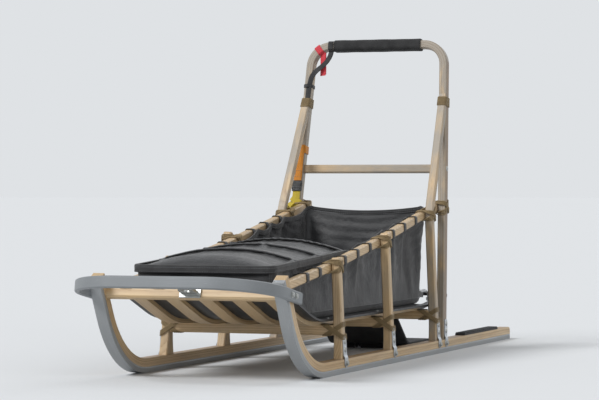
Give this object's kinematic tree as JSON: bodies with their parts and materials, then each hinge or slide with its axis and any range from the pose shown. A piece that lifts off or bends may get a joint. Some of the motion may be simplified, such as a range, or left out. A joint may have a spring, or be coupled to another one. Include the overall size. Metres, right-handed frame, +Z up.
{
  "type": "dog sled",
  "caption": "Ash dog sled with shod runners turned up at the toe, an open load bag, a leaning driving bow, a brush bow, a claw brake and a drag mat.",
  "frame": {"origin": "on the ground under the middle of the sled's length and width", "axes": "+Z up, -Y the way the sled travels, +X the sled's left side"},
  "size_m": [0.58, 2.3395, 0.98],
  "materials": {
    "ash": "oiled",
    "aluminium": "extruded",
    "shoe_plastic": "extruded",
    "bed_plastic": "rolled sheet",
    "bow_plastic": "bent strip",
    "grip_foam": "closed-cell foam",
    "pad_rubber": "ribbed",
    "bag_fabric": "coated woven nylon",
    "orange_webbing": "woven webbing",
    "yellow_webbing": "woven webbing",
    "buckle_plastic": "moulded",
    "bright_steel": "zinc plated",
    "black_steel": "powder coated"
  },
  "bodies": {
    "sled": {"runner_left": "ash", "runner_right": "ash", "runner_rail_left": "aluminium", "runner_rail_right": "aluminium", "runner_shoe_left": "shoe_plastic", "runner_shoe_right": "shoe_plastic", "side_rail_left": "ash", "side_rail_right": "ash", "foot_pad_left": "pad_rubber", "foot_pad_right": "pad_rubber", "upright_front_left": "ash", "upright_front_right": "ash", "upright_middle_left": "ash", "upright_middle_right": "ash", "upright_rear_left": "ash", "upright_rear_right": "ash", "crossbar_nose": "ash", "crossbar_front": "ash", "crossbar_middle": "ash", "crossbar_rear": "ash", "bed_slats": "ash", "bed_sheet": "bed_plastic", "brush_bow": "bow_plastic", "driving_bow": "ash", "bow_crossbar": "ash", "foot_brackets": "aluminium", "hand_grip": "grip_foam", "load_bag": "bag_fabric", "bag_cover": "bag_fabric", "strap_upper": "orange_webbing", "strap_buckle": "buckle_plastic", "strap_lower": "yellow_webbing", "hinge_rod": "bright_steel", "hinge_ears": "bright_steel", "tow_eye": "bright_steel"},
    "claw_brake": {"brake_frame": "black_steel", "brake_tread": "bright_steel", "brake_claws": "bright_steel"},
    "drag_mat": {"drag_mat": "pad_rubber", "mat_bar": "bright_steel"}
  },
  "joints": [
    {"name": "brake_hinge", "type": "hinge", "parent": "sled", "child": "claw_brake", "pos_m": [0, 0.413, 0.118], "axis": [-1, 0, 0], "range_deg": [0, 17], "stiffness_Nm_per_rad": 12, "springref_deg": -34.38},
    {"name": "mat_hinge", "type": "hinge", "parent": "sled", "child": "drag_mat", "pos_m": [0, 0.413, 0.118], "axis": [1, 0, 0], "range_deg": [0, 40]}
  ]
}
